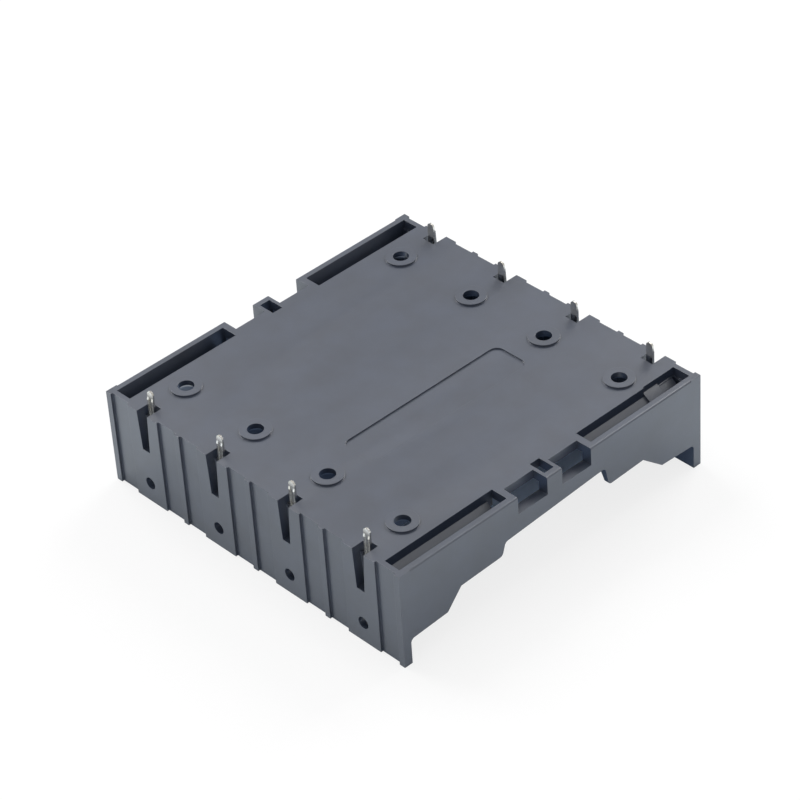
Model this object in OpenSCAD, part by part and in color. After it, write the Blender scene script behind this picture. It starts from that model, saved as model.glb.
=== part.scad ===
// Board-mount holder for four cylindrical cells, shown as it lies with its solder pins up.
// X runs along the cells, Y across them, and Z up from the rim that the holder lies on.
// The origin is the middle of the rim plane. All sizes are in millimetres.

/* [Cells] */
// Diameter of a cell
cell_d = 18.4; // [18:0.1:19]
// Length of a cell
cell_len = 65.2; // [64:0.1:70]
// Gap between a cell and its bay, all round
cell_gap = 0.1; // [0.05:0.05:0.3]
// Room for one spring contact at each end of a cell
contact_room = 4.35; // [4:0.05:5]

/* [Walls] */
// Thickness of the base plate
base_t = 1.9; // [1.6:0.1:3]
// Thickness of an end wall at its pads
end_t = 1.9; // [1.7:0.1:3]
// Thickness of a side wall where the cell comes nearest
side_t = 1.05; // [0.8:0.05:2]
// Thickness of a side wall beside the long slots
side_root_t = 1.4; // [1.2:0.05:2]
// Thickness of a side wall along its low middle
side_mid_t = 2.2; // [1.6:0.1:3]
// Thickness of a partition at its thinnest
partition_t = 0.83; // [0.7:0.01:1.5]
// How far the rim stands past the cells
rim_past_cell = 0.5; // [0.3:0.1:2]

/* [Rim steps] */
// How far the end arms reach round past the middle of a cell, at the end wall
arm_wrap = 4.3; // [2:0.05:5]
// How much less far they reach at their slope
arm_rise = 0.45; // [0:0.05:1]
// Length of a front arm from the end wall to its slope
front_arm_len = 9.15; // [5:0.05:12]
// Length of a rear arm from the end wall to its slope
rear_arm_len = 8.75; // [5:0.05:12]
// Length of the slope between a front arm and its shoulder
front_slope_run = 3.6; // [2:0.1:6]
// Length of the slope between a rear arm and its shoulder
rear_slope_run = 5.1; // [2:0.1:6]
// How far the shoulder stays short of the middle of a cell
shoulder_short = 0.25; // [0:0.05:2]
// How much higher a shoulder is at its rear end than at its front end
shoulder_rise = 0.3; // [0:0.05:1]
// Length of the low middle of the rim, from the middle of the holder to its front end
mid_front = 12.9; // [11:0.1:16]
// Length of the low middle of the rim, from the middle of the holder to its rear end
mid_rear = 13; // [11:0.1:16]
// Run of the step down from the shoulder to the low middle
step_run = 0.9; // [0.5:0.1:2]
// How far the low middle stays short of the middle of a cell
mid_short = 3.8; // [3:0.1:5]
// How much higher the low middle is at its rear end than at its front end
mid_rise = 1.4; // [0:0.1:1.5]
// Radius of the rounded corners of the rim
rim_r = 0.9; // [0.3:0.1:1.2]

/* [Slots and windows] */
// Length of the base left between a long slot and the outside of the end wall
slot_end = 1.55; // [1.2:0.05:3]
// Half length of the middle stretch between the two long slots of a side
slot_mid = 10.85; // [10.5:0.05:14]
// Width of the long slots and of the hole in the middle tab
slot_w = 3.7; // [2:0.1:5]
// Half length of the middle tab
tab_half = 1.92; // [1.8:0.02:4]
// Thickness of the rounded shell that lies under a long slot
shell_t = 1.3; // [0.8:0.1:2]
// Gap between that shell and the end of its slot nearest the middle
shell_gap = 1.35; // [0.2:0.05:3]
// Gap between that shell and the end wall
shell_short = 0.35; // [0.1:0.05:1]
// Half width of the flat floor of an outer bay, from its middle to that shell
shell_root = 4; // [3.8:0.1:4.2]
// Height of the raised band round the shell of the near right slot
band_rise = 0.45; // [0.2:0.05:1]
// Length of the raised band
band_len = 3.8; // [1:0.1:6]
// Distance of the raised band from the end wall
band_off = 4.2; // [1:0.1:10]
// How much wider the near right slot is beside and beyond its band
slot_wider = 0.3; // [0.1:0.05:0.6]
// Length of the hole in the middle tab
tab_hole = 2.4; // [1:0.1:3]
// Far end of a window from the middle of the side
window_far = 9.4; // [8:0.1:10.4]
// Depth of a window, from the outside of the side wall inwards
window_in = 3.6; // [2:0.1:5]
// Height of a window, from the base face down
window_h = 3.8; // [2:0.1:5]
// Radius along the outer edge of the side walls
edge_r = 0.4; // [0.1:0.05:0.8]
// Length of the sharp edge left at each corner
edge_sharp = 2.6; // [0:0.1:5]

/* [End wall relief] */
// Height of the pads and ribs on the end walls
relief_h = 0.5; // [0.2:0.05:0.7]
// Width of a pad behind a contact
pad_w = 8.4; // [6:0.1:12]
// Width of a rib behind a partition
rib_w = 1.25; // [0.6:0.05:3]
// Width of a pad at a corner
corner_w = 1.35; // [1:0.05:3]
// Width of a pin slot at the base face
pin_slot_top = 3; // [2.4:0.1:4]
// Width of a pin slot at its narrow bottom
pin_slot_bottom = 2; // [1.95:0.05:3]
// Height of a pin slot, from the base face down
pin_slot_h = 8.8; // [6:0.1:12]
// Length of a pin slot, from the outside of the end wall inwards
pin_slot_in = 3.5; // [3:0.1:5]
// Diameter of the round hole under a pin slot
end_hole_d = 2.55; // [1:0.05:3.5]
// Height of the round hole above the rim plane
end_hole_z = 4.45; // [3:0.05:5]

/* [Screws and marking recess] */
// Distance between the two columns of screw holes
screw_span = 55.8; // [50:0.1:58]
// Diameter of a screw hole
screw_hole_d = 3.2; // [2:0.1:4]
// Diameter of the countersink inside a bay
screw_head_d = 5.6; // [4.4:0.1:6.4]
// Diameter of a screw boss
boss_d = 6.2; // [5:0.1:8]
// Height of a screw boss above the base face
boss_h = 0.4; // [0.2:0.1:1.5]
// Length of the blank recess in the base face
recess_len = 40.2; // [10:0.1:46]
// Width of the blank recess
recess_w = 8.4; // [4:0.1:12]
// Corner radius of the blank recess
recess_r = 1.8; // [0.5:0.1:1.9]
// Depth of the blank recess
recess_depth = 0.3; // [0.1:0.05:0.6]
// Distance of the blank recess from the middle of the holder
recess_off = 9.1; // [0:0.1:20]

/* [Contacts] */
// Thickness of the contact strip
strip_t = 0.4; // [0.3:0.05:0.5]
// Width of the strip behind the leaf
strip_w = 7; // [6.5:0.1:8]
// Width of the leaf
leaf_w = 5; // [3:0.1:5.4]
// Distance of the fold's middle from the rim plane
fold_z = 6.9; // [6.4:0.1:7.5]
// Inner radius of the fold
fold_r = 0.8; // [0.5:0.1:1]
// Lean of the leaf on its way in to the cell
lean_in = 40; // [32:1:44]
// Lean of the leaf on its way back to the wall
lean_back = 28; // [20:1:30]
// Inner radius of the leaf's crown
crown_r = 1.6; // [1:0.1:2.5]
// Length of the leaf beyond its crown
leaf_back_len = 5.4; // [3:0.1:6]
// How far a free leaf stands into the length of the cell
leaf_preload = 0.8; // [0.3:0.1:1.5]
// Width of a solder pin
pin_w = 1.6; // [1.4:0.05:1.9]
// Depth of a solder pin's side walls
pin_deep = 0.55; // [0.55:0.05:0.9]
// Height of a solder pin above the base face
pin_h = 3.8; // [2:0.1:6]
// How far a pin's side walls stop short of its round tip
pin_nose = 1.4; // [1:0.1:1.8]
// Height of the slope at the top of those side walls
pin_slope = 0.6; // [0.2:0.1:1]
// Height of the pad that a contact lies against
seat_h = 0.45; // [0.1:0.05:0.5]
// Gap between a contact and the rails that hold it
rail_gap = 0.1; // [0.05:0.05:0.3]
// Thickness of a rail
rail_t = 0.9; // [0.6:0.1:1.5]
// Overlap of a rail over the strip
rail_lap = 0.7; // [0.4:0.05:0.8]

/* [Hidden] */
$fn = 48;
bays = 4;
// Overrun of a cutter past the face that it opens
over = 1;
// Bays, and the heights that follow from the cell
bay_r = cell_d / 2 + cell_gap;
cell_z = rim_past_cell + bay_r;
base_under = cell_z + bay_r;
base_z = base_under + base_t;
pitch = 2 * bay_r + partition_t;
bay_y = [for (i = [0:bays - 1]) (bays - 1) / 2 * pitch - i * pitch];
// Outer size
half_w = bay_y[0] + bay_r + side_t;
inner_x = cell_len / 2 + contact_room;
half_l = inner_x + end_t;
// Channel of a bay, above the middle of the cell
channel_half = half_w - side_mid_t - bay_y[0];
slot_out_y = half_w - side_root_t;
slot_in_y = slot_out_y - slot_w;
slot_out_x = half_l - slot_end;
// Heights of the rim's steps
arm_z = cell_z - arm_wrap;
shoulder_z = cell_z + shoulder_short;
mid_z = cell_z + mid_short;
// Contact, measured inwards from the face of its seat
seat_x = inner_x - seat_h;
strip_top = base_under - rail_gap;
rail_bottom = fold_z + 0.6;
neck_z = rail_bottom + 0.4;
fold_end = strip_t + fold_r;
crown_in = contact_room - seat_h + leaf_preload;
pin_top = base_z + pin_h;
pin_wall_top = pin_top - pin_nose;
pin_bottom = base_z - pin_slot_h + 0.3;
// Leaf: where the straight run starts, and how long it is to bring the crown to its place
run_start = [fold_end + fold_r * cos(lean_in), fold_z - fold_r * sin(-lean_in)];
run_len = (crown_in - strip_t - crown_r * (1 - cos(lean_in)) - run_start[0]
           - strip_t * (cos(lean_in) - 1)) / sin(lean_in);

// Arc that rounds the corner at p between its neighbours a and b
function unit(v) = v / norm(v);
function rounded(a, p, b, r, steps = 6) =
    let (u = unit(a - p), v = unit(b - p),
         half = acos(u * v) / 2,
         centre = p + unit(u + v) * r / sin(half),
         s = p + u * r / tan(half) - centre,
         e = p + v * r / tan(half) - centre,
         turn = s[0] * e[1] - s[1] * e[0] > 0 ? 180 - 2 * half : 2 * half - 180)
    [for (i = [0:steps])
        let (t = turn * i / steps)
        centre + [s[0] * cos(t) - s[1] * sin(t), s[0] * sin(t) + s[1] * cos(t)]];

// One half of the rim's outline from the end wall to the middle, as X and Z.
// The rim rises towards the rear, so up is 1 at the rear half and -1 at the front half.
function rim_half(arm_len, slope_run, mid_half, up) =
    let (corner = [inner_x, arm_z],
         arm_end = [inner_x - arm_len, arm_z + arm_rise],
         slope_end = [inner_x - arm_len - slope_run, shoulder_z + up * shoulder_rise / 2],
         step_foot = [mid_half + step_run, shoulder_z - up * shoulder_rise / 2],
         step_head = [mid_half, mid_z + up * mid_rise / 2])
    concat([[inner_x, -over]],
           rounded([inner_x, -over], corner, arm_end, rim_r),
           [arm_end, slope_end],
           rounded(slope_end, step_foot, step_head, rim_r),
           rounded(step_foot, step_head, [0, mid_z], rim_r));

function reversed(list) = [for (i = [len(list) - 1:-1:0]) list[i]];

// Everything below the rim, between the two end walls
module rim_cut() {
    rear = rim_half(rear_arm_len, rear_slope_run, mid_rear, 1);
    front = [for (p = rim_half(front_arm_len, front_slope_run, mid_front, -1)) [-p[0], p[1]]];
    translate([0, half_w + over, 0])
        rotate([90, 0, 0])
            linear_extrude(2 * (half_w + over))
                polygon(concat(rear, reversed(front)));
}

// Box from a low corner to a high corner
module block(low, high) {
    translate(low) cube(high - low);
}

// One bay: the round of the cell, a flat floor, and straight sides towards the partitions
module bay(row) {
    y = bay_y[row];
    outer_low = row == bays - 1;
    outer_high = row == 0;
    shell_root_low = outer_low ? shell_root : channel_half;
    shell_root_high = outer_high ? shell_root : channel_half;
    translate([-inner_x, y, cell_z])
        rotate([0, 90, 0])
            cylinder(r = bay_r, h = 2 * inner_x, $fn = 96);
    block([-inner_x, y - shell_root_low, cell_z], [inner_x, y + shell_root_high, base_under]);
    block([-slot_mid, y - channel_half, cell_z], [slot_mid, y + channel_half, base_under]);
    // Below the middle of the cell a partition stays straight, and only a side wall hooks round
    block([-inner_x, outer_low ? y : y - bay_r, -over],
          [inner_x, outer_high ? y : y + bay_r, cell_z]);
    // The mouth of the bay, below the arms
    block([-inner_x, y - bay_r, -over], [inner_x, y + bay_r, arm_z]);
}

// Round about the middle of the outer bay of one quarter, from one X to another
module shell_round(r, low, high) {
    translate([low, bay_y[0], cell_z])
        rotate([0, 90, 0])
            cylinder(r = r, h = high - low, $fn = 96);
}

// Long slot of one quarter, open down to its rounded shell and into the bay past the shell's
// two ends. A banded slot has a raised band round its shell, and is wider from there on.
module long_slot(banded) {
    band_end = inner_x - band_off;
    band_start = band_end - band_len;
    difference() {
        union() {
            block([slot_mid, slot_in_y, cell_z], [inner_x, slot_out_y, base_z + over]);
            block([inner_x - over, slot_in_y, base_under], [slot_out_x, slot_out_y, base_z + over]);
            if (banded)
                block([band_start, slot_in_y - slot_wider, base_under],
                      [slot_out_x, slot_in_y + over, base_z + over]);
        }
        shell_round(bay_r + shell_t, slot_mid + shell_gap, inner_x - shell_short);
        if (banded) shell_round(bay_r + shell_t + band_rise, band_start, band_end);
    }
}

// Windows of one quarter and half of the hole in the middle tab
module window() {
    block([tab_half, half_w - window_in, base_z - window_h], [window_far, half_w + over, base_z + over]);
    block([-over, slot_in_y, base_under - over], [tab_hole / 2, slot_out_y, base_z + over]);
}

// Tapered slot for a solder pin, through the end wall and the edge of the base
module pin_slot(row) {
    low = base_z - pin_slot_h;
    steep = (pin_slot_top - pin_slot_bottom) / 2 / pin_slot_h;
    top_half = pin_slot_top / 2 + steep * over;
    translate([half_l - pin_slot_in, bay_y[row], 0])
        rotate([90, 0, 90])
            linear_extrude(pin_slot_in + over)
                polygon([[-pin_slot_bottom / 2, low], [pin_slot_bottom / 2, low],
                         [top_half, base_z + over], [-top_half, base_z + over]]);
}

// Screw hole with its countersink on the bay side
module screw_cut(row) {
    sink = (screw_head_d - screw_hole_d) / 2;
    translate([screw_span / 2, bay_y[row], 0]) {
        translate([0, 0, cell_z]) cylinder(d = screw_hole_d, h = base_z + boss_h + over - cell_z);
        translate([0, 0, base_under]) cylinder(d1 = screw_head_d, d2 = screw_hole_d, h = sink);
    }
}

// Blank recess with round corners in the base face
module recess_cut() {
    long = recess_len / 2 - recess_r;
    wide = recess_w / 2 - recess_r;
    translate([0, -recess_off, base_z - recess_depth])
        linear_extrude(recess_depth + over) {
            square([recess_len, 2 * wide], center = true);
            square([2 * long, recess_w], center = true);
            for (sx = [-1, 1], sy = [-1, 1]) translate([sx * long, sy * wide]) circle(r = recess_r);
        }
}

// Rounds the outer edge of a side wall
module edge_cut() {
    translate([edge_sharp - half_l, half_w - edge_r, base_z - edge_r])
        rotate([90, 0, 90])
            linear_extrude(2 * (half_l - edge_sharp))
                difference() {
                    square(edge_r + over);
                    circle(r = edge_r);
                }
}

// Pads and ribs that stand out from one end wall
module relief() {
    low = half_l - relief_h;
    for (row = [0:bays - 1])
        block([low, bay_y[row] - pad_w / 2, 0], [half_l, bay_y[row] + pad_w / 2, base_z]);
    for (row = [0:bays - 2])
        let (y = (bay_y[row] + bay_y[row + 1]) / 2)
            block([low, y - rib_w / 2, 0], [half_l, y + rib_w / 2, base_z]);
    for (side = [-1, 1])
        let (y = side * (half_w - corner_w / 2))
            block([low, y - corner_w / 2, 0], [half_l, y + corner_w / 2, base_z]);
}

// Seat pad and the two hooked rails that hold one contact against the end wall
module contact_rails(row) {
    y = bay_y[row];
    reach = seat_h + strip_t + rail_gap;
    post = strip_w / 2 + rail_gap;
    block([seat_x, y - leaf_w / 2, rail_bottom], [inner_x, y - pin_slot_bottom / 2, base_under]);
    block([seat_x, y + pin_slot_bottom / 2, rail_bottom], [inner_x, y + leaf_w / 2, base_under]);
    for (side = [0, 1])
        translate([0, y, 0])
            mirror([0, side, 0]) {
                block([inner_x - reach - rail_t, post, rail_bottom], [inner_x, post + rail_t, base_under]);
                block([inner_x - reach - rail_t, strip_w / 2 - rail_lap, rail_bottom],
                      [inner_x - reach, post, base_under]);
            }
}

// The moulded body
module holder_body() {
    color([0.13, 0.14, 0.15]) {
        difference() {
            union() {
                block([-half_l + relief_h, -half_w, 0], [half_l - relief_h, half_w, base_z]);
                for (end = [0, 1]) mirror([end, 0, 0]) relief();
                for (end = [0, 1], row = [0:bays - 1])
                    mirror([end, 0, 0])
                        translate([screw_span / 2, bay_y[row], base_z - over])
                            cylinder(d = boss_d, h = boss_h + over);
            }
            for (row = [0:bays - 1]) bay(row);
            rim_cut();
            for (mx = [0, 1], my = [0, 1])
                mirror([mx, 0, 0])
                    mirror([0, my, 0]) {
                        long_slot(mx == 0 && my == 1);
                        window();
                    }
            for (end = [0, 1], row = [0:bays - 1])
                mirror([end, 0, 0]) {
                    pin_slot(row);
                    screw_cut(row);
                    translate([inner_x - over, bay_y[row], end_hole_z])
                        rotate([0, 90, 0])
                            cylinder(d = end_hole_d, h = end_t + 2 * over);
                }
            recess_cut();
            for (side = [0, 1]) mirror([0, side, 0]) edge_cut();
        }
        for (end = [0, 1], row = [0:bays - 1]) mirror([end, 0, 0]) contact_rails(row);
    }
}

// Bend of the strip: inner radius r, from one angle through a turn, about the Y axis
module bend(r, from, turn, width) {
    translate([0, width / 2, 0])
        rotate([90, 0, 0])
            rotate([0, 0, from])
                rotate_extrude(angle = turn)
                    translate([r, 0])
                        square([strip_t, width]);
}

// Leaf of one contact, from its fold to its free end. Here X points in to the cell.
module leaf() {
    translate([fold_end, 0, fold_z]) bend(fold_r, 180, 180 - lean_in, leaf_w);
    translate([fold_end, 0, fold_z])
        rotate([0, lean_in, 0])
            translate([fold_r, -leaf_w / 2, 0]) {
                cube([strip_t, leaf_w, run_len]);
                translate([-crown_r, leaf_w / 2, run_len]) {
                    bend(crown_r, 0, lean_in + lean_back, leaf_w);
                    rotate([0, -lean_in - lean_back, 0])
                        translate([crown_r, -leaf_w / 2, 0])
                            cube([strip_t, leaf_w, leaf_back_len]);
                }
            }
}

// Solder pin: a web with a round tip, and a side wall along each edge
module pin() {
    tip_r = pin_w / 2;
    wall_out = strip_t - pin_deep;
    rotate([90, 0, 90])
        linear_extrude(strip_t)
            polygon(concat([[-tip_r, pin_bottom], [tip_r, pin_bottom]],
                           [for (t = [0:15:180]) [tip_r * cos(t), pin_top - tip_r + tip_r * sin(t)]]));
    for (side = [0, 1])
        mirror([0, side, 0])
            translate([0, tip_r, 0])
                rotate([90, 0, 0])
                    linear_extrude(strip_t)
                        polygon([[strip_t, pin_bottom], [strip_t, pin_wall_top], [0, pin_wall_top],
                                 [wall_out, pin_wall_top - pin_slope], [wall_out, pin_bottom]]);
}

// One contact, folded from one strip: strip, leaf and pin. X = 0 is the face of its seat.
module contact_strip() {
    color([0.78, 0.78, 0.76]) {
        block([0, -strip_w / 2, neck_z], [strip_t, strip_w / 2, strip_top]);
        block([0, -leaf_w / 2, fold_z], [strip_t, leaf_w / 2, neck_z]);
        leaf();
        pin();
    }
}

// A contact at the end where X is low
module front_contact(row) {
    translate([-seat_x, bay_y[row], 0]) contact_strip();
}

// The same contact at the other end
module rear_contact(row) {
    translate([seat_x, bay_y[row], 0]) rotate([0, 0, 180]) contact_strip();
}

holder_body();
front_contact(0);  // front_contact_1
front_contact(1);  // front_contact_2
front_contact(2);  // front_contact_3
front_contact(3);  // front_contact_4
rear_contact(0);  // rear_contact_1
rear_contact(1);  // rear_contact_2
rear_contact(2);  // rear_contact_3
rear_contact(3);  // rear_contact_4
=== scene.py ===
"""Dresses the cell holder: moulded plastic, plated contacts, moulding marks and a pale studio."""
import math

import bmesh
import bpy
from bpy.props import FloatProperty, FloatVectorProperty, IntProperty, PointerProperty
from bpy.types import Operator, Panel, PropertyGroup
from mathutils import Matrix, Vector


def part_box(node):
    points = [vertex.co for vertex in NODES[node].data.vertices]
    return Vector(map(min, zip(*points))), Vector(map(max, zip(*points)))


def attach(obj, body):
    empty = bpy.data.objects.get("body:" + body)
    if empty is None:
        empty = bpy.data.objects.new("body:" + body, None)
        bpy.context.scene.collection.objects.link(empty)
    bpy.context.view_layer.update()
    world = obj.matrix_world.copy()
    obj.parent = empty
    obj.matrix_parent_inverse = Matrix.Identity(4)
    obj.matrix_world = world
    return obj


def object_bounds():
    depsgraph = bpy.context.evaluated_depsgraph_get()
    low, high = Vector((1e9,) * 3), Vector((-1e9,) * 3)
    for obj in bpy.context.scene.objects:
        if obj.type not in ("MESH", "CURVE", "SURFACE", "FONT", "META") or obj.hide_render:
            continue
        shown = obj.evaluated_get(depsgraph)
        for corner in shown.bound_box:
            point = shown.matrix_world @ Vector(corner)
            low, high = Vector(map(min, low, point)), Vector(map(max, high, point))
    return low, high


bl_info = {
    "name": "Cell holder look",
    "version": (1, 0, 0),
    "blender": (4, 5, 0),
    "location": "View3D > Sidebar > Cell holder",
    "description": "Materials, moulding marks and studio for a board-mount cell holder",
    "category": "Object",
}

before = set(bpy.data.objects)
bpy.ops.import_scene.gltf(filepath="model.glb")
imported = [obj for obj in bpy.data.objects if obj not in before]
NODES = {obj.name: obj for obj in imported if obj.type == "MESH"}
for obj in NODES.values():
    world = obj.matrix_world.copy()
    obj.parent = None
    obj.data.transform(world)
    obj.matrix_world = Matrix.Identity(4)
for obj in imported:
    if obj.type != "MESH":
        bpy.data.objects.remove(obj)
CAD_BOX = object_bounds()
BODY = "holder_body"
CONTACTS = sorted(name for name in NODES if "contact" in name)
MM = 0.001

# Moulded plastic. The spread, dips and rises are how far a tone or a roughness strays from its setting.
PLASTIC_IOR = 1.72
PIGMENT_SPREAD = 0.14
GRAIN_RELIEF = 0.02 * MM
FLOW_RELIEF = 0.15 * MM
FLOW_STRENGTH = 0.12
SATIN_DIP, SATIN_RISE = 0.05, 0.06
SPARKLE = 0.05

# Plated contacts
TARNISH_TINT = (0.86, 0.82, 0.74)
SHEARED_RADIUS = 0.06 * MM
LINE_RELIEF = 0.01 * MM
LINE_STRENGTH = 0.12
PLATE_DIP, PLATE_RISE = 0.08, 0.10

# Marks on the bay floors. The rows lie off the middle of each bay, clear of the screw holes. The lip is
# the step round a pin mark's dome, and a sign's width is a share of its length.
BASE_DEPTH = 2.3 * MM
ROW_OFFSET = 5.6 * MM
DISC_SIDES = 40
DISC_LIP = 0.12 * MM
DOME_RISE = 1.6
SIGN_PLACE = 20.5 * MM
SIGN_WIDTH = 0.22
SIGN_BURIED = 0.05 * MM
DRAFT = 0.35

# Studio. Each softbox has its direction round the part and its height angle, in degrees. The sensor's
# width is in millimetres, and the camera's nearest and farthest distances are in metres.
TOOTH_PER_METRE = 900.0
TOOTH_DIP = 0.985
FOOT_EDGE = 1.0 * MM
LEFT_TO_RIGHT = (0.75, -0.66, 0.0)
SKY_STEP = 0.35
SOFTBOXES = (("right_softbox", 9, 34), ("back_left_softbox", 92, 45))
SENSOR_WIDTH = 36.0
NEAREST, FARTHEST = 0.01, 20.0


def shader_node(tree, kind, at, label="", **inputs):
    """Adds a node to a tree, names it and sets the inputs given by socket name."""
    made = tree.nodes.new(kind)
    made.location = at
    made.label = label
    for name, value in inputs.items():
        made.inputs[name.replace("_", " ")].default_value = value
    return made


def join(tree, source, output, target, socket):
    """Links an output of one node to an input of another."""
    tree.links.new(source.outputs[output], target.inputs[socket])


def maths(tree, at, operation, a, b=None, label=""):
    """Adds a Math node. a and b are numbers or (node, output) pairs."""
    made = tree.nodes.new("ShaderNodeMath")
    made.location = at
    made.label = label
    made.operation = operation
    for socket, value in zip(made.inputs, (a, b)):
        if value is None:
            continue
        if isinstance(value, tuple):
            tree.links.new(value[0].outputs[value[1]], socket)
        else:
            socket.default_value = value
    return made


def mix_colours(tree, at, share, first, second, label):
    """Adds a colour Mix node. share and first are (node, output) pairs, and second is a colour.

    Without a first, that colour is white.
    """
    made = shader_node(tree, "ShaderNodeMix", at, label)
    made.data_type = "RGBA"
    join(tree, *share, made, "Factor")
    if first is None:
        made.inputs["A"].default_value = grey(1.0)
    else:
        join(tree, *first, made, "A")
    made.inputs["B"].default_value = (*second, 1.0)
    return made


def mix_shaders(tree, at, share, first, second):
    """Adds a Mix Shader node. share, first and second are (node, output) pairs."""
    made = shader_node(tree, "ShaderNodeMixShader", at)
    join(tree, *share, made, "Fac")
    join(tree, *first, made, 1)
    join(tree, *second, made, 2)
    return made


def ramp(tree, at, stops, label=""):
    """Adds a Color Ramp with the given (position, colour) stops."""
    made = tree.nodes.new("ShaderNodeValToRGB")
    made.location = at
    made.label = label
    band = made.color_ramp
    while len(band.elements) < len(stops):
        band.elements.new(0.5)
    for element, (place, colour) in zip(band.elements, stops):
        element.position = place
        element.color = colour
    return made


def grey(value):
    """An opaque grey."""
    return (value, value, value, 1.0)


def new_material(name):
    """A fresh node material with its output and shader in place."""
    material = bpy.data.materials.new(name)
    material.use_nodes = True
    tree = material.node_tree
    tree.nodes.clear()
    output = shader_node(tree, "ShaderNodeOutputMaterial", (900, 0))
    shader = shader_node(tree, "ShaderNodeBsdfPrincipled", (600, 0), "Surface")
    join(tree, shader, "BSDF", output, "Surface")
    return material, tree, shader


def moulded_plastic(look):
    """Black plastic with a satin spark-eroded grain, soft edges and faint mould flow."""
    material, tree, shader = new_material("black_moulded_plastic")
    place = shader_node(tree, "ShaderNodeTexCoord", (-1500, 0), "Place on the part")

    grain = shader_node(tree, "ShaderNodeTexNoise", (-1100, -500), "Eroded grain",
                        Scale=1 / look.grain_size, Detail=3.0, Roughness=0.6)
    join(tree, place, "Object", grain, "Vector")
    mottle = shader_node(tree, "ShaderNodeTexNoise", (-1100, 200), "Mottle",
                         Scale=1 / look.mottle_size, Detail=5.0, Roughness=0.55)
    join(tree, place, "Object", mottle, "Vector")
    stretch = shader_node(tree, "ShaderNodeMapping", (-1300, -150), "Flow along the bays",
                          Scale=(0.15, 1.0, 1.0))
    join(tree, place, "Object", stretch, "Vector")
    flow = shader_node(tree, "ShaderNodeTexNoise", (-1100, -150), "Flow marks",
                       Scale=1 / look.flow_size, Detail=2.0, Roughness=0.5, Distortion=0.6)
    join(tree, stretch, "Vector", flow, "Vector")

    bevel = shader_node(tree, "ShaderNodeBevel", (-700, -700), "Edge radius", Radius=look.edge_radius)
    bevel.samples = 6
    surface = shader_node(tree, "ShaderNodeNewGeometry", (-900, -900), "Flat face")
    turn = shader_node(tree, "ShaderNodeVectorMath", (-500, -850), "Turn at an edge")
    turn.operation = "DOT_PRODUCT"
    join(tree, bevel, "Normal", turn, 0)
    join(tree, surface, "True Normal", turn, 1)
    edge = ramp(tree, (-300, -850), [(0.90, grey(1.0)), (0.995, grey(0.0))], "Rubbed edge and painted highlight")
    join(tree, turn, "Value", edge, "Fac")

    bump = shader_node(tree, "ShaderNodeBump", (-300, -550), "Grain relief",
                       Strength=look.grain_depth, Distance=GRAIN_RELIEF)
    join(tree, grain, "Fac", bump, "Height")
    join(tree, bevel, "Normal", bump, "Normal")
    wave = shader_node(tree, "ShaderNodeBump", (0, -550), "Flow relief",
                       Strength=FLOW_STRENGTH, Distance=FLOW_RELIEF)
    join(tree, flow, "Fac", wave, "Height")
    join(tree, bump, "Normal", wave, "Normal")
    join(tree, wave, "Normal", shader, "Normal")

    dark = tuple(c * (1 - PIGMENT_SPREAD) for c in look.colour)
    light = tuple(c * (1 + PIGMENT_SPREAD) for c in look.colour)
    tone = ramp(tree, (-700, 250), [(0.32, (*dark, 1.0)), (0.68, (*light, 1.0))], "Pigment")
    join(tree, mottle, "Fac", tone, "Fac")
    # Painted highlight: the edges are painted paler, partly as rubbed wear and partly as the light a
    # rounded edge catches
    share = maths(tree, (-300, 50), "MULTIPLY", (edge, "Color"), look.edge_wear_and_highlight, "Share of paler edges")
    paler_edges = mix_colours(tree, (-100, 250), (share, "Value"), (tone, "Color"), look.worn_and_lit_edge_colour,
                      "Paler edges, rubbed and painted highlight")
    join(tree, paler_edges, "Result", shader, "Base Color")

    gloss = shader_node(tree, "ShaderNodeMapRange", (-700, -50), "Satin",
                        To_Min=look.roughness - SATIN_DIP, To_Max=look.roughness + SATIN_RISE)
    join(tree, flow, "Fac", gloss, "Value")
    speck = shader_node(tree, "ShaderNodeMapRange", (-700, -300), "Sparkle",
                        To_Min=-SPARKLE, To_Max=SPARKLE)
    join(tree, grain, "Fac", speck, "Value")
    rough = maths(tree, (-400, -150), "ADD", (gloss, "Result"), (speck, "Result"), "Roughness")
    join(tree, rough, "Value", shader, "Roughness")
    shader.inputs["Specular IOR Level"].default_value = look.specular
    shader.inputs["IOR"].default_value = PLASTIC_IOR
    return material


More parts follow.
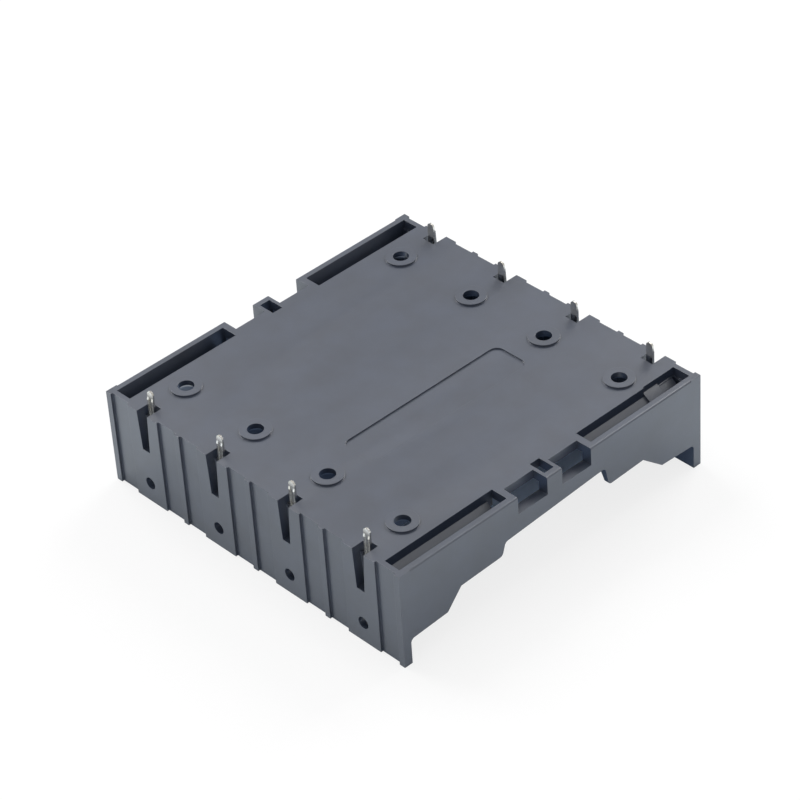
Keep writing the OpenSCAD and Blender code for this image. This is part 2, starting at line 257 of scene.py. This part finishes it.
def plated_spring(look):
    """Nickel-plated spring strip: rolled lines, faint tarnish and duller sheared edges."""
    material, tree, shader = new_material("nickel_plated_spring")
    place = shader_node(tree, "ShaderNodeTexCoord", (-1500, 0), "Place on the part")
    stretch = shader_node(tree, "ShaderNodeMapping", (-1300, 0), "Along the strip",
                          Scale=(6.0, 6.0, 0.12))
    join(tree, place, "Object", stretch, "Vector")
    lines = shader_node(tree, "ShaderNodeTexNoise", (-1100, 0), "Rolling lines",
                        Scale=1 / look.line_size, Detail=3.0, Roughness=0.6)
    join(tree, stretch, "Vector", lines, "Vector")
    haze = shader_node(tree, "ShaderNodeTexNoise", (-1100, 300), "Tarnish",
                       Scale=1 / look.haze_size, Detail=4.0, Roughness=0.6)
    join(tree, place, "Object", haze, "Vector")
    warm = tuple(c * k for c, k in zip(look.colour, TARNISH_TINT))
    tone = ramp(tree, (-700, 300), [(0.30, (*warm, 1.0)), (0.62, (*look.colour, 1.0))], "Plate")
    join(tree, haze, "Fac", tone, "Fac")
    bevel = shader_node(tree, "ShaderNodeBevel", (-700, -500), "Sheared edge", Radius=SHEARED_RADIUS)
    bevel.samples = 4
    bump = shader_node(tree, "ShaderNodeBump", (-300, -400), "Line relief",
                       Strength=LINE_STRENGTH, Distance=LINE_RELIEF)
    join(tree, lines, "Fac", bump, "Height")
    join(tree, bevel, "Normal", bump, "Normal")
    join(tree, bump, "Normal", shader, "Normal")
    gloss = shader_node(tree, "ShaderNodeMapRange", (-700, 0), "Brightness of the plate",
                        To_Min=look.roughness - PLATE_DIP, To_Max=look.roughness + PLATE_RISE)
    join(tree, lines, "Fac", gloss, "Value")
    join(tree, gloss, "Result", shader, "Roughness")
    join(tree, tone, "Color", shader, "Base Color")
    shader.inputs["Metallic"].default_value = 1.0
    return material


def floor_patch(tree, parts, at, sides):
    """Masks a patch of the floor: 1 inside, 0 outside. Gives the mask as a (node, output) pair.

    Each side is an axis, the place where the patch starts, and the width of its soft edge inwards.
    """
    mask = None
    for count, (axis, edge, soft) in enumerate(sides):
        across, down = at[0] + 170 * count, at[1] - 170 * count
        step = shader_node(tree, "ShaderNodeMapRange", (at[0], down), "Inside this edge",
                           From_Min=edge, From_Max=edge + soft)
        step.interpolation_type = "SMOOTHSTEP"
        join(tree, parts, axis, step, "Value")
        if mask is None:
            mask = (step, "Result")
        else:
            mask = (maths(tree, (across + 200, down), "MULTIPLY", mask, (step, "Result")), "Value")
    return mask


def floor_paper(look):
    """Matt white paper sweep. It is seen near to white, and keeps the soft shadow.

    Under the bays it is seen as it is lit, with a painted bluish shade tone, so that the windows and
    the screw holes look into shade. In reflections it is painted a cooler tone, and a dimmer bluish
    white under the bays.
    """
    material, tree, shader = new_material("white_paper_sweep")
    place = shader_node(tree, "ShaderNodeTexCoord", (-1100, 0))
    tooth = shader_node(tree, "ShaderNodeTexNoise", (-800, 0), "Paper tooth",
                        Scale=TOOTH_PER_METRE, Detail=4.0)
    join(tree, place, "Object", tooth, "Vector")
    dip = tuple(c * TOOTH_DIP for c in look.floor_colour)
    tone = ramp(tree, (-500, 100), [(0.35, (*dip, 1.0)), (0.65, (*look.floor_colour, 1.0))])
    join(tree, tooth, "Fac", tone, "Fac")
    shader.inputs["Roughness"].default_value = 0.9
    shader.inputs["Specular IOR Level"].default_value = 0.1

    # Where the shade lies, for what the camera sees and for reflections
    path = shader_node(tree, "ShaderNodeLightPath", (0, 500))
    glossy = (path, "Is Glossy Ray")
    direct = maths(tree, (200, 550), "MAXIMUM", (path, "Is Camera Ray"), (path, "Is Transmission Ray"))
    straight = (direct, "Value")
    parts = shader_node(tree, "ShaderNodeSeparateXYZ", (-1100, 1200))
    join(tree, place, "Object", parts, "Vector")
    wide, (low, high) = look.shade_wide, CAD_BOX
    shade = floor_patch(tree, parts, (-900, 1800), (
        ("X", look.shade_front, wide), ("X", look.shade_rear, -wide),
        ("Y", look.shade_near, look.shade_soft), ("Y", look.shade_far, -wide)))
    footprint = floor_patch(tree, parts, (-900, 1100), (
        ("X", low[0], FOOT_EDGE), ("X", high[0], -FOOT_EDGE),
        ("Y", low[1], FOOT_EDGE), ("Y", high[1], -FOOT_EDGE)))
    in_sight = maths(tree, (200, 1200), "MULTIPLY", shade, straight, "Shade seen directly")
    in_gloss = maths(tree, (200, 1000), "MULTIPLY", footprint, glossy, "Painted shade in a gloss")
    shade_seen, shade_mirrored = (in_sight, "Value"), (in_gloss, "Value")
    shade_share = maths(tree, (400, 1100), "MAXIMUM", shade_seen, shade_mirrored, "Share of shade")

    # The paper's colour, painted a cooler tone in reflections and a bluish shade tone under the bays
    # Painted reflection: the paper is tinted cooler only where reflections see it
    painted_cool_gloss = mix_colours(tree, (0, 100), glossy, (tone, "Color"), look.painted_gloss_colour, "Painted cooler tone in a gloss")
    shaded = mix_colours(tree, (300, 100), (shade_share, "Value"), (painted_cool_gloss, "Result"), look.painted_shade_colour,
                         "Painted shade tone")
    join(tree, shaded, "Result", shader, "Base Color")

    # The share of plain white laid over it; in reflections under the bays it is a painted dimmer blue
    # shade
    free = maths(tree, (200, 800), "SUBTRACT", straight, shade_seen, "Free floor seen directly")
    seen = maths(tree, (400, 550), "MULTIPLY", (free, "Value"), look.floor_white, "White seen directly")
    mirrored = maths(tree, (400, 400), "MULTIPLY", glossy, look.floor_mirrored, "White in a gloss")
    share = maths(tree, (600, 450), "MAXIMUM", (seen, "Value"), (mirrored, "Value"), "Share of white")
    # Painted shade in reflections: the white that reflections see under the bays is painted a dim blue
    painted_shade_tint = mix_colours(tree, (400, -300), shade_mirrored, None, look.painted_shade_gloss,
                       "Painted bluer shade under the bays")
    glow = shader_node(tree, "ShaderNodeEmission", (600, -300), "White", Strength=1.0)
    join(tree, painted_shade_tint, "Result", glow, "Color")
    blend = mix_shaders(tree, (800, 200), (share, "Value"), (shader, "BSDF"), (glow, "Emission"))
    output = tree.nodes["Material Output"]
    output.location = (1000, 0)
    join(tree, blend, "Shader", output, "Surface")
    return material


def dress(node_name, material):
    """Gives a CAD node its material and leaves its mesh alone."""
    thing = NODES[node_name]
    if not thing.material_slots:
        thing.data.materials.append(material)
    for spot in thing.material_slots:
        spot.material = material


def finish_piece(name, mesh, material):
    """Makes a finished mesh a piece that rides on the part."""
    mesh.materials.clear()
    mesh.materials.append(material)
    piece = bpy.data.objects.new(name, mesh)
    bpy.context.scene.collection.objects.link(piece)
    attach(piece, "root")


class HolderBodyLook(PropertyGroup):
    """Finish of the moulded body."""

    colour: FloatVectorProperty(name="Plastic colour", description="Pigment of the black plastic",
                                subtype="COLOR", size=3, min=0.0, max=1.0,
                                default=(0.030, 0.041, 0.068))
    # The paler edge colour stands for rubbed wear and for a painted edge highlight
    worn_and_lit_edge_colour: FloatVectorProperty(name="Rubbed and lit edge colour",
                                       description="Colour of an edge, rubbed and with a painted highlight", subtype="COLOR",
                                       size=3, min=0.0, max=1.0, default=(0.075, 0.085, 0.11))
    roughness: FloatProperty(name="Roughness", description="Dullness of the satin face",
                             subtype="FACTOR", min=0.0, max=1.0, default=0.35)
    specular: FloatProperty(name="Specular level", description="Strength of the satin reflection",
                            subtype="FACTOR", min=0.0, max=1.0, default=0.80)
    grain_size: FloatProperty(name="Grain size", description="Size of the eroded grain of the mould",
                              subtype="DISTANCE", default=0.00016, precision=5)
    grain_depth: FloatProperty(name="Grain depth", description="Strength of the grain relief",
                               subtype="FACTOR", min=0.0, max=1.0, default=0.25)
    mottle_size: FloatProperty(name="Mottle size", description="Size of the faint colour patches",
                               subtype="DISTANCE", default=0.006)
    flow_size: FloatProperty(name="Flow size", description="Width of the faint flow marks",
                             subtype="DISTANCE", default=0.009)
    edge_radius: FloatProperty(name="Edge radius", description="Radius of the moulded edges",
                               subtype="DISTANCE", default=0.00008, precision=5)
    edge_wear_and_highlight: FloatProperty(name="Edge wear and highlight", description="Share of the paler edge colour, wear and painted highlight",
                             subtype="FACTOR", min=0.0, max=1.0, default=0.25)


class ContactLook(PropertyGroup):
    """Finish of the plated contacts."""

    colour: FloatVectorProperty(name="Plate colour", description="Colour of the nickel plate",
                                subtype="COLOR", size=3, min=0.0, max=1.0, default=(0.78, 0.77, 0.745))
    roughness: FloatProperty(name="Roughness", description="Dullness of the plate", subtype="FACTOR",
                             min=0.0, max=1.0, default=0.22)
    line_size: FloatProperty(name="Line size", description="Width of the rolling lines",
                             subtype="DISTANCE", default=0.0008, precision=5)
    haze_size: FloatProperty(name="Haze size", description="Size of the tarnish patches",
                             subtype="DISTANCE", default=0.002)


class MouldMarkLook(PropertyGroup):
    """Sizes of the marks that the mould leaves on the bay floors."""

    disc_radius: FloatProperty(name="Pin mark radius", description="Radius of an ejector pin mark",
                               subtype="DISTANCE", default=0.0014, precision=5)
    disc_height: FloatProperty(name="Pin mark height", description="How far a pin mark stands out",
                               subtype="DISTANCE", default=0.00006, precision=5)
    marks_per_bay: IntProperty(name="Marks per bay", description="Ejector pin marks along one bay",
                               default=3, min=1)
    mark_pitch: FloatProperty(name="Mark pitch", description="Distance between the marks along a bay",
                              subtype="DISTANCE", default=0.013)
    sign_size: FloatProperty(name="Sign size", description="Length of a polarity sign",
                             subtype="DISTANCE", default=0.0030)
    sign_height: FloatProperty(name="Sign height", description="How far a polarity sign stands out",
                               subtype="DISTANCE", default=0.00025, precision=5)


class StudioLook(PropertyGroup):
    """Floor, lamps and camera."""

    floor_colour: FloatVectorProperty(name="Floor colour", description="Colour of the paper sweep",
                                      subtype="COLOR", size=3, min=0.0, max=1.0,
                                      default=(0.93, 0.93, 0.93))
    floor_white: FloatProperty(name="Floor white",
                               description="Share of plain white where the floor is seen directly",
                               subtype="FACTOR", min=0.0, max=1.0, default=0.80)
    floor_mirrored: FloatProperty(name="Floor white in a gloss",
                                  description="The same share for reflections", subtype="FACTOR",
                                  min=0.0, max=1.0, default=0.15)
    # Painted reflection: a cooler floor colour seen only in reflections
    painted_gloss_colour: FloatVectorProperty(name="Floor painted cooler in a gloss",
                                      description="Painted colour of the floor in reflections", subtype="COLOR",
                                      size=3, min=0.0, max=1.0, default=(0.88, 0.95, 1.0))
    # Painted shade: a bluish tone laid on the floor under the bays
    painted_shade_colour: FloatVectorProperty(name="Painted shade colour",
                                      description="Painted shade colour of the floor under the bays",
                                      subtype="COLOR", size=3, min=0.0, max=1.0,
                                      default=(0.66, 0.80, 1.0))
    # Painted shade: the dim blue of that floor in reflections
    painted_shade_gloss: FloatVectorProperty(name="Painted shade in a gloss",
                                     description="Painted shade colour of that floor in reflections", subtype="COLOR",
                                     size=3, min=0.0, max=1.0, default=(0.35, 0.55, 1.0))
    shade_front: FloatProperty(name="Shade front", description="X where the floor's shade starts",
                               subtype="DISTANCE", default=-0.036)
    shade_rear: FloatProperty(name="Shade rear", description="X where the floor's shade ends",
                              subtype="DISTANCE", default=0.039)
    shade_near: FloatProperty(name="Shade near", description="Y where the floor's shade starts",
                              subtype="DISTANCE", default=-0.026)
    shade_far: FloatProperty(name="Shade far", description="Y where the floor's shade ends",
                             subtype="DISTANCE", default=0.039)
    shade_soft: FloatProperty(name="Near softness", description="Width of the shade's near edge",
                              subtype="DISTANCE", default=0.004)
    shade_wide: FloatProperty(name="Other softness", description="Width of the shade's other edges",
                              subtype="DISTANCE", default=0.010)
    floor_size: FloatProperty(name="Floor size", description="Side of the square floor",
                              subtype="DISTANCE", default=6.0)
    sky_fill: FloatProperty(name="Sky fill",
                            description="Light that dull faces get from the surroundings", default=0.58)
    sky_dim: FloatProperty(name="Dim side",
                           description="Brightness of the mirrored surroundings at the left",
                           subtype="FACTOR", min=0.0, max=1.0, default=0.46)
    sky_bright: FloatProperty(name="Bright side",
                              description="Brightness of the mirrored surroundings at the right",
                              subtype="FACTOR", min=0.0, max=1.0, default=0.56)
    lamp_power: FloatProperty(name="Lamp power", description="Power of each of the two softboxes",
                              subtype="POWER", default=20.0)
    lamp_size: FloatProperty(name="Lamp size", description="Side of each softbox", subtype="DISTANCE",
                             default=1.1)
    lamp_distance: FloatProperty(name="Lamp distance", description="Distance of each softbox",
                                 subtype="DISTANCE", default=1.85)
    azimuth: FloatProperty(name="Azimuth", description="Direction of the camera round the part",
                           subtype="ANGLE", default=math.radians(-41.50))
    elevation: FloatProperty(name="Elevation", description="Height angle of the camera",
                             subtype="ANGLE", default=math.radians(37.66))
    roll: FloatProperty(name="Roll", description="Tilt of the camera about its axis", subtype="ANGLE",
                        default=math.radians(-3.98))
    distance: FloatProperty(name="Distance", description="Distance of the camera from its target",
                            subtype="DISTANCE", default=0.63554)
    target: FloatVectorProperty(name="Target", description="Point that the camera looks at",
                                subtype="TRANSLATION", size=3, default=(0.005626, 0.007176, 0.010064))
    lens: FloatProperty(name="Lens", description="Focal length on a 36 mm sensor, in millimetres",
                        default=150.42)


class CellHolderLook(PropertyGroup):
    """All settings of the cell holder."""

    body: PointerProperty(type=HolderBodyLook, name="Body")
    contacts: PointerProperty(type=ContactLook, name="Contacts")
    marks: PointerProperty(type=MouldMarkLook, name="Mould marks")
    studio: PointerProperty(type=StudioLook, name="Studio")


def plastic_of(context):
    """The plastic material, made once."""
    made = bpy.data.materials.get("black_moulded_plastic")
    return made or moulded_plastic(context.scene.cell_holder.body)


class HOLDER_OT_body(Operator):
    """Gives the moulded body its satin black plastic"""

    bl_idname = "holder.body"
    bl_label = "Moulded body"

    def execute(self, context):
        dress(BODY, plastic_of(context))
        return {"FINISHED"}


class HOLDER_OT_contacts(Operator):
    """Gives the eight contacts their nickel plate"""

    bl_idname = "holder.contacts"
    bl_label = "Plated contacts"

    def execute(self, context):
        material = plated_spring(context.scene.cell_holder.contacts)
        for name in CONTACTS:
            dress(name, material)
        return {"FINISHED"}


def bay_middles():
    """Y of the middle of each bay, taken from the contacts."""
    return [sum(corner[1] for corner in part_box(name)) / 2
            for name in CONTACTS if name.startswith("front")]


def bay_floor():
    """Height of the bay floors, from the tops of the screw bosses."""
    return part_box(BODY)[1][2] - BASE_DEPTH


def mark_rows():
    """Y of the row of marks in each bay."""
    return [y - math.copysign(ROW_OFFSET, y) for y in bay_middles()]


def mark_inputs(look):
    """Inputs of the pin mark tree, by name."""
    return {"Marks": look.marks_per_bay, "Pitch": look.mark_pitch, "Radius": look.disc_radius,
            "Height": look.disc_height, "Lip": DISC_LIP}


def pin_mark_tree(inputs, material):
    """Geometry Nodes: ejector pin marks, shallow discs in rows along the bays."""
    tree = bpy.data.node_groups.new("ejector_pin_marks", "GeometryNodeTree")
    face = tree.interface
    face.new_socket("Geometry", in_out="INPUT", socket_type="NodeSocketGeometry")
    for name, value in inputs.items():
        whole = isinstance(value, int)
        kind = "NodeSocketInt" if whole else "NodeSocketFloat"
        made = face.new_socket(name, in_out="INPUT", socket_type=kind)
        made.default_value = value
        if not whole:
            made.subtype = "DISTANCE"
    face.new_socket("Geometry", in_out="OUTPUT", socket_type="NodeSocketGeometry")
    given = tree.nodes.new("NodeGroupInput")
    given.location = (-900, 0)
    out = tree.nodes.new("NodeGroupOutput")
    out.location = (900, 0)

    def add(kind, at, **sources):
        """Adds a node. Each input is a value or a (node, output) pair."""
        made = tree.nodes.new(kind)
        made.location = at
        for name, value in sources.items():
            socket = made.inputs[name.replace("_", " ")]
            if isinstance(value, tuple):
                tree.links.new(value[0].outputs[value[1]], socket)
            else:
                socket.default_value = value
        return made

    # One mark: a disc with a slightly taller and narrower one inside it
    radius, height = (given, "Radius"), (given, "Height")
    inner = maths(tree, (-700, -450), "SUBTRACT", radius, (given, "Lip"))
    rise = maths(tree, (-700, -600), "MULTIPLY", height, DOME_RISE)
    disc = add("GeometryNodeMeshCylinder", (-500, -200), Vertices=DISC_SIDES,
               Radius=radius, Depth=height)
    dome = add("GeometryNodeMeshCylinder", (-500, -450), Vertices=DISC_SIDES,
               Radius=(inner, "Value"), Depth=(rise, "Value"))
    both = add("GeometryNodeJoinGeometry", (-250, -300))
    join(tree, disc, "Mesh", both, "Geometry")
    join(tree, dome, "Mesh", both, "Geometry")
    # One row of places along X for each point of the incoming mesh
    pitch = (given, "Pitch")
    less = maths(tree, (-700, 350), "SUBTRACT", (given, "Marks"), 1.0)
    span = maths(tree, (-500, 350), "MULTIPLY", (less, "Value"), pitch)
    start = maths(tree, (-300, 350), "MULTIPLY", (span, "Value"), -0.5)
    origin = add("ShaderNodeCombineXYZ", (-100, 350), X=(start, "Value"))
    step = add("ShaderNodeCombineXYZ", (-500, 150), X=pitch)
    row = add("GeometryNodeMeshLine", (-200, 150), Count=(given, "Marks"))
    row.mode = "OFFSET"
    join(tree, step, "Vector", row, "Offset")
    join(tree, origin, "Vector", row, "Start Location")
    lines = add("GeometryNodeInstanceOnPoints", (50, 100),
                Points=(given, "Geometry"), Instance=(row, "Mesh"))
    places = add("GeometryNodeRealizeInstances", (230, 100), Geometry=(lines, "Instances"))
    marks = add("GeometryNodeInstanceOnPoints", (400, 0),
                Points=(places, "Geometry"), Instance=(both, "Geometry"))
    solid = add("GeometryNodeRealizeInstances", (560, 0), Geometry=(marks, "Instances"))
    skin = add("GeometryNodeSetMaterial", (730, 0), Geometry=(solid, "Geometry"), Material=material)
    join(tree, skin, "Geometry", out, "Geometry")
    return tree


def socket_id(tree, name):
    """Identifier of a tree's input."""
    return next(item.identifier for item in tree.interface.items_tree
                if item.item_type == "SOCKET" and item.in_out == "INPUT" and item.name == name)


class HOLDER_OT_pin_marks(Operator):
    """Adds the ejector pin marks on the bay floors with Geometry Nodes"""

    bl_idname = "holder.pin_marks"
    bl_label = "Ejector pin marks"

    def execute(self, context):
        inputs = mark_inputs(context.scene.cell_holder.marks)
        material = plastic_of(context)
        tree = pin_mark_tree(inputs, material)
        places = bpy.data.meshes.new("pin_mark_rows")
        floor = bay_floor()
        places.from_pydata([(0.0, y, floor) for y in mark_rows()], [], [])
        maker = bpy.data.objects.new("pin_mark_maker", places)
        context.scene.collection.objects.link(maker)
        modifier = maker.modifiers.new("Marks", "NODES")
        modifier.node_group = tree
        for name, value in inputs.items():
            modifier[socket_id(tree, name)] = value
        context.view_layer.update()
        evaluated = maker.evaluated_get(context.evaluated_depsgraph_get())
        mesh = bpy.data.meshes.new_from_object(evaluated)
        mesh.name = "ejector_pin_marks"
        maker.modifiers.clear()
        bpy.data.objects.remove(maker)
        finish_piece("ejector_pin_marks", mesh, material)
        return {"FINISHED"}


def bar(shape, centre, length, width, height):
    """Adds a bar with drafted sides to a bmesh. It hangs down from the height of its centre."""
    corners = []
    for level, trim in ((0.0, 0.0), (-height, height * DRAFT)):
        for sx, sy in ((-1, -1), (1, -1), (1, 1), (-1, 1)):
            corners.append(shape.verts.new((centre[0] + sx * (length / 2 - trim),
                                            centre[1] + sy * (width / 2 - trim), centre[2] + level)))
    for ring in ((0, 1, 2, 3), (7, 6, 5, 4), (0, 4, 5, 1), (1, 5, 6, 2), (2, 6, 7, 3), (3, 7, 4, 0)):
        shape.faces.new([corners[i] for i in ring])


class HOLDER_OT_polarity_signs(Operator):
    """Adds the raised plus and minus signs on the bay floors"""

    bl_idname = "holder.polarity_signs"
    bl_label = "Polarity signs"

    def execute(self, context):
        look = context.scene.cell_holder.marks
        shape = bmesh.new()
        root = bay_floor() + SIGN_BURIED
        height = look.sign_height + SIGN_BURIED
        length = look.sign_size
        width = length * SIGN_WIDTH
        for row in mark_rows():
            minus, plus = (-SIGN_PLACE, row, root), (SIGN_PLACE, row, root)
            bar(shape, minus, width, length, height)
            bar(shape, plus, width, length, height)
            bar(shape, plus, length, width, height)
        bmesh.ops.recalc_face_normals(shape, faces=shape.faces)
        mesh = bpy.data.meshes.new("polarity_signs")
        shape.to_mesh(mesh)
        shape.free()
        finish_piece("polarity_signs", mesh, plastic_of(context))
        return {"FINISHED"}


def softbox(name, place, size, power):
    """Adds a white square area lamp aimed at the origin."""
    lamp = bpy.data.lights.new(name, "AREA")
    lamp.shape = "SQUARE"
    lamp.size = size
    lamp.energy = power
    thing = bpy.data.objects.new(name, lamp)
    thing.location = place
    thing.rotation_euler = (-place).to_track_quat("-Z", "Y").to_euler()
    bpy.context.scene.collection.objects.link(thing)


def sky(look):
    """White surroundings for the camera, dimmer ones for reflections and a fill for dull faces."""
    world = bpy.data.worlds.new("white_surroundings")
    world.use_nodes = True
    tree = world.node_tree
    tree.nodes.clear()
    out = shader_node(tree, "ShaderNodeOutputWorld", (600, 0))
    lit = shader_node(tree, "ShaderNodeBackground", (0, 100), "Fill",
                      Color=grey(1.0), Strength=look.sky_fill)
    seen = shader_node(tree, "ShaderNodeBackground", (300, -300), "Seen", Color=grey(1.0), Strength=1.0)
    path = shader_node(tree, "ShaderNodeLightPath", (-300, 500))
    place = shader_node(tree, "ShaderNodeTexCoord", (-900, -100))
    across = shader_node(tree, "ShaderNodeVectorMath", (-700, -100), "From left to right")
    across.operation = "DOT_PRODUCT"
    across.inputs[1].default_value = LEFT_TO_RIGHT
    join(tree, place, "Generated", across, 0)
    level = shader_node(tree, "ShaderNodeMapRange", (-450, -100), "Paler to the right",
                        From_Min=-SKY_STEP, From_Max=SKY_STEP,
                        To_Min=look.sky_dim, To_Max=look.sky_bright)
    level.interpolation_type = "SMOOTHSTEP"
    join(tree, across, "Value", level, "Value")
    mirrored = shader_node(tree, "ShaderNodeBackground", (0, -100), "Mirrored", Color=grey(1.0))
    join(tree, level, "Result", mirrored, "Strength")
    gloss = mix_shaders(tree, (300, 0), (path, "Is Glossy Ray"),
                        (lit, "Background"), (mirrored, "Background"))
    straight = maths(tree, (300, 400), "MAXIMUM",
                     (path, "Is Camera Ray"), (path, "Is Transmission Ray"))
    blend = mix_shaders(tree, (600, 0), (straight, "Value"), (gloss, "Shader"), (seen, "Background"))
    out.location = (900, 0)
    join(tree, blend, "Shader", out, "Surface")
    return world


def camera_place(look):
    """Matrix of the camera, which looks at its target from the given direction and distance."""
    back = Vector((math.sin(look.azimuth) * math.cos(look.elevation),
                   -math.cos(look.azimuth) * math.cos(look.elevation), math.sin(look.elevation)))
    right = Vector((math.cos(look.azimuth), math.sin(look.azimuth), 0.0))
    up = back.cross(right)
    side = right * math.cos(look.roll) + up * math.sin(look.roll)
    top = up * math.cos(look.roll) - right * math.sin(look.roll)
    turn = Matrix((side, top, back)).transposed().to_4x4()
    return Matrix.Translation(Vector(look.target) + back * look.distance) @ turn


class HOLDER_OT_studio(Operator):
    """Adds the paper floor, the lamps and the camera"""

    bl_idname = "holder.studio"
    bl_label = "Studio"

    def execute(self, context):
        look = context.scene.cell_holder.studio
        scene = context.scene
        half = look.floor_size / 2
        corners = [(-half, -half, 0), (half, -half, 0), (half, half, 0), (-half, half, 0)]
        sheet = bpy.data.meshes.new("paper_floor")
        sheet.from_pydata(corners, [], [(0, 1, 2, 3)])
        sheet.materials.append(floor_paper(look))
        floor = bpy.data.objects.new("paper_floor", sheet)
        scene.collection.objects.link(floor)
        scene.world = sky(look)
        for name, turn, rise in SOFTBOXES:
            way = (Matrix.Rotation(math.radians(turn), 3, "Z")
                   @ Matrix.Rotation(math.radians(-rise), 3, "Y"))
            softbox(name, way @ Vector((look.lamp_distance, 0, 0)), look.lamp_size, look.lamp_power)

        lens = bpy.data.cameras.new("studio_camera")
        lens.sensor_width = SENSOR_WIDTH
        lens.lens = look.lens
        lens.clip_start = NEAREST
        lens.clip_end = FARTHEST
        camera = bpy.data.objects.new("studio_camera", lens)
        scene.collection.objects.link(camera)
        camera.matrix_world = camera_place(look)
        scene.camera = camera
        scene.view_settings.view_transform = "Standard"
        return {"FINISHED"}


class HOLDER_PT_panel(Panel):
    """Lists the pieces of the cell holder and their settings"""

    bl_idname = "HOLDER_PT_panel"
    bl_label = "Cell holder"
    bl_space_type = "VIEW_3D"
    bl_region_type = "UI"
    bl_category = "Cell holder"

    def draw(self, context):
        look = context.scene.cell_holder
        groups = (("Body", look.body, ("holder.body",)),
                  ("Contacts", look.contacts, ("holder.contacts",)),
                  ("Mould marks", look.marks, ("holder.pin_marks", "holder.polarity_signs")),
                  ("Studio", look.studio, ("holder.studio",)))
        for title, group, operators in groups:
            box = self.layout.box()
            box.label(text=title)
            for name in group.__annotations__:
                box.prop(group, name)
            for name in operators:
                box.operator(name)


CLASSES = (HolderBodyLook, ContactLook, MouldMarkLook, StudioLook, CellHolderLook,
           HOLDER_OT_body, HOLDER_OT_contacts, HOLDER_OT_pin_marks, HOLDER_OT_polarity_signs,
           HOLDER_OT_studio, HOLDER_PT_panel)


def register():
    for item in CLASSES:
        bpy.utils.register_class(item)
    bpy.types.Scene.cell_holder = PointerProperty(type=CellHolderLook)


def unregister():
    del bpy.types.Scene.cell_holder
    for item in reversed(CLASSES):
        bpy.utils.unregister_class(item)


def main():
    register()
    bpy.ops.holder.studio()
    bpy.ops.holder.body()
    bpy.ops.holder.contacts()
    bpy.ops.holder.pin_marks()
    bpy.ops.holder.polarity_signs()


if __name__ == "__main__":
    main()
